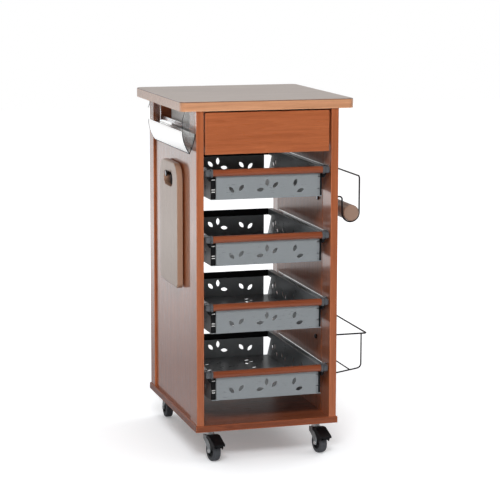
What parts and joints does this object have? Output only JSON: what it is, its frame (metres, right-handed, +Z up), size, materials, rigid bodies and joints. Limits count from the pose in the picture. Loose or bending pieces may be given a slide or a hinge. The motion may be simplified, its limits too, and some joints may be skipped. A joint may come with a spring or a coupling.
{
  "type": "kitchen trolley",
  "caption": "Upright wooden kitchen trolley on swivel castors with an overhanging worktop, drawer, pull-out pierced metal baskets, side trough, hanging board, paper-roll holder and bottle rack.",
  "frame": {"origin": "on the floor, under the middle of the whole trolley's box", "axes": "+Z up, -Y to the front, where the drawer and baskets pull out, +X to the bottle rack"},
  "size_m": [0.506, 0.4998, 0.87],
  "materials": {
    "case_wood": "satin lacquer",
    "panel_wood": "satin lacquer",
    "handle_wood": "satin lacquer",
    "board_wood": "satin oil",
    "basket_steel": "satin",
    "channel_steel": "satin",
    "polished_steel": "polished",
    "clear_end": "clear",
    "grey_plastic": "matte",
    "dark_wire": "satin",
    "plated_steel": "plated",
    "castor_grey": "satin",
    "black_plastic": "satin",
    "grey_tyre": "matte"
  },
  "bodies": {
    "case": {"worktop": "case_wood", "base_board": "case_wood", "right_front_post": "case_wood", "right_rear_post": "case_wood", "right_panel": "case_wood", "left_front_post": "case_wood", "left_rear_post": "case_wood", "left_panel": "case_wood", "rear_rail": "case_wood", "drawer_runners": "channel_steel", "basket_channels_right": "channel_steel", "basket_channels_left": "channel_steel", "trough_shell": "polished_steel", "trough_ends": "clear_end", "board_peg": "plated_steel", "roll_holder": "dark_wire", "bottle_rack": "dark_wire", "wire_nuts": "plated_steel", "castor_stems": "plated_steel"},
    "drawer": {"drawer_front": "case_wood", "drawer_right_side": "case_wood", "drawer_left_side": "case_wood", "drawer_back": "case_wood", "drawer_bottom": "panel_wood"},
    "board": {"chopping_board": "board_wood"},
    "roll": {"paper_roll": "board_wood"},
    "basket_1": {"basket_1_tray": "basket_steel", "basket_1_handle": "handle_wood", "basket_1_caps": "grey_plastic"},
    "basket_2": {"basket_2_tray": "basket_steel", "basket_2_handle": "handle_wood", "basket_2_caps": "grey_plastic"},
    "basket_3": {"basket_3_tray": "basket_steel", "basket_3_handle": "handle_wood", "basket_3_caps": "grey_plastic"},
    "basket_4": {"basket_4_tray": "basket_steel", "basket_4_handle": "handle_wood", "basket_4_caps": "grey_plastic"},
    "castor_front_left": {"castor_front_left_fork": "castor_grey", "castor_front_left_axle": "plated_steel"},
    "wheel_front_left": {"castor_front_left_hub": "black_plastic", "castor_front_left_tyre": "grey_tyre"},
    "brake_front_left": {"castor_front_left_pedal": "black_plastic"},
    "castor_front_right": {"castor_front_right_fork": "castor_grey", "castor_front_right_axle": "plated_steel"},
    "wheel_front_right": {"castor_front_right_hub": "black_plastic", "castor_front_right_tyre": "grey_tyre"},
    "brake_front_right": {"castor_front_right_pedal": "black_plastic"},
    "castor_rear_left": {"castor_rear_left_fork": "castor_grey", "castor_rear_left_axle": "plated_steel"},
    "wheel_rear_left": {"castor_rear_left_hub": "black_plastic", "castor_rear_left_tyre": "grey_tyre"},
    "castor_rear_right": {"castor_rear_right_fork": "castor_grey", "castor_rear_right_axle": "plated_steel"},
    "wheel_rear_right": {"castor_rear_right_hub": "black_plastic", "castor_rear_right_tyre": "grey_tyre"}
  },
  "joints": [
    {"name": "drawer_slide", "type": "slide", "parent": "case", "child": "drawer", "axis": [0, -1, 0], "range_m": [0, 0.24]},
    {"name": "basket_1_slide", "type": "slide", "parent": "case", "child": "basket_1", "axis": [0, -1, 0], "range_m": [0, 0.3]},
    {"name": "basket_2_slide", "type": "slide", "parent": "case", "child": "basket_2", "axis": [0, -1, 0], "range_m": [0, 0.3]},
    {"name": "basket_3_slide", "type": "slide", "parent": "case", "child": "basket_3", "axis": [0, -1, 0], "range_m": [0, 0.3]},
    {"name": "basket_4_slide", "type": "slide", "parent": "case", "child": "basket_4", "axis": [0, -1, 0], "range_m": [0, 0.3]},
    {"name": "board_swing", "type": "hinge", "parent": "case", "child": "board", "pos_m": [-0.2205, -0.00509, 0.6767], "axis": [1, 0, 0], "range_deg": [-12, 12]},
    {"name": "roll_spin", "type": "hinge", "parent": "case", "child": "roll", "pos_m": [0.203, -0.00709, 0.579], "axis": [0, 1, 0], "continuous": true},
    {"name": "front_left_swivel", "type": "hinge", "parent": "case", "child": "castor_front_left", "pos_m": [-0.174, -0.19309, 0.061], "axis": [0, 0, 1], "continuous": true},
    {"name": "front_left_wheel_spin", "type": "hinge", "parent": "castor_front_left", "child": "wheel_front_left", "pos_m": [-0.17053, -0.21279, 0.025], "axis": [0.9848, 0.1736, 0], "continuous": true},
    {"name": "front_left_brake", "type": "hinge", "parent": "castor_front_left", "child": "brake_front_left", "pos_m": [-0.17018, -0.21476, 0.0555], "axis": [0.9848, 0.1736, 0], "range_deg": [0, 8]},
    {"name": "front_right_swivel", "type": "hinge", "parent": "case", "child": "castor_front_right", "pos_m": [0.096, -0.19309, 0.061], "axis": [0, 0, 1], "continuous": true},
    {"name": "front_right_wheel_spin", "type": "hinge", "parent": "castor_front_right", "child": "wheel_front_right", "pos_m": [0.09947, -0.21279, 0.025], "axis": [0.9848, 0.1736, 0], "continuous": true},
    {"name": "front_right_brake", "type": "hinge", "parent": "castor_front_right", "child": "brake_front_right", "pos_m": [0.09982, -0.21476, 0.0555], "axis": [0.9848, 0.1736, 0], "range_deg": [0, 8]},
    {"name": "rear_left_swivel", "type": "hinge", "parent": "case", "child": "castor_rear_left", "pos_m": [-0.174, 0.20491, 0.061], "axis": [0, 0, 1], "continuous": true},
    {"name": "rear_left_wheel_spin", "type": "hinge", "parent": "castor_rear_left", "child": "wheel_rear_left", "pos_m": [-0.174, 0.22491, 0.025], "axis": [1, 0, 0], "continuous": true},
    {"name": "rear_right_swivel", "type": "hinge", "parent": "case", "child": "castor_rear_right", "pos_m": [0.096, 0.20491, 0.061], "axis": [0, 0, 1], "continuous": true},
    {"name": "rear_right_wheel_spin", "type": "hinge", "parent": "castor_rear_right", "child": "wheel_rear_right", "pos_m": [0.096, 0.22491, 0.025], "axis": [1, 0, 0], "continuous": true}
  ]
}
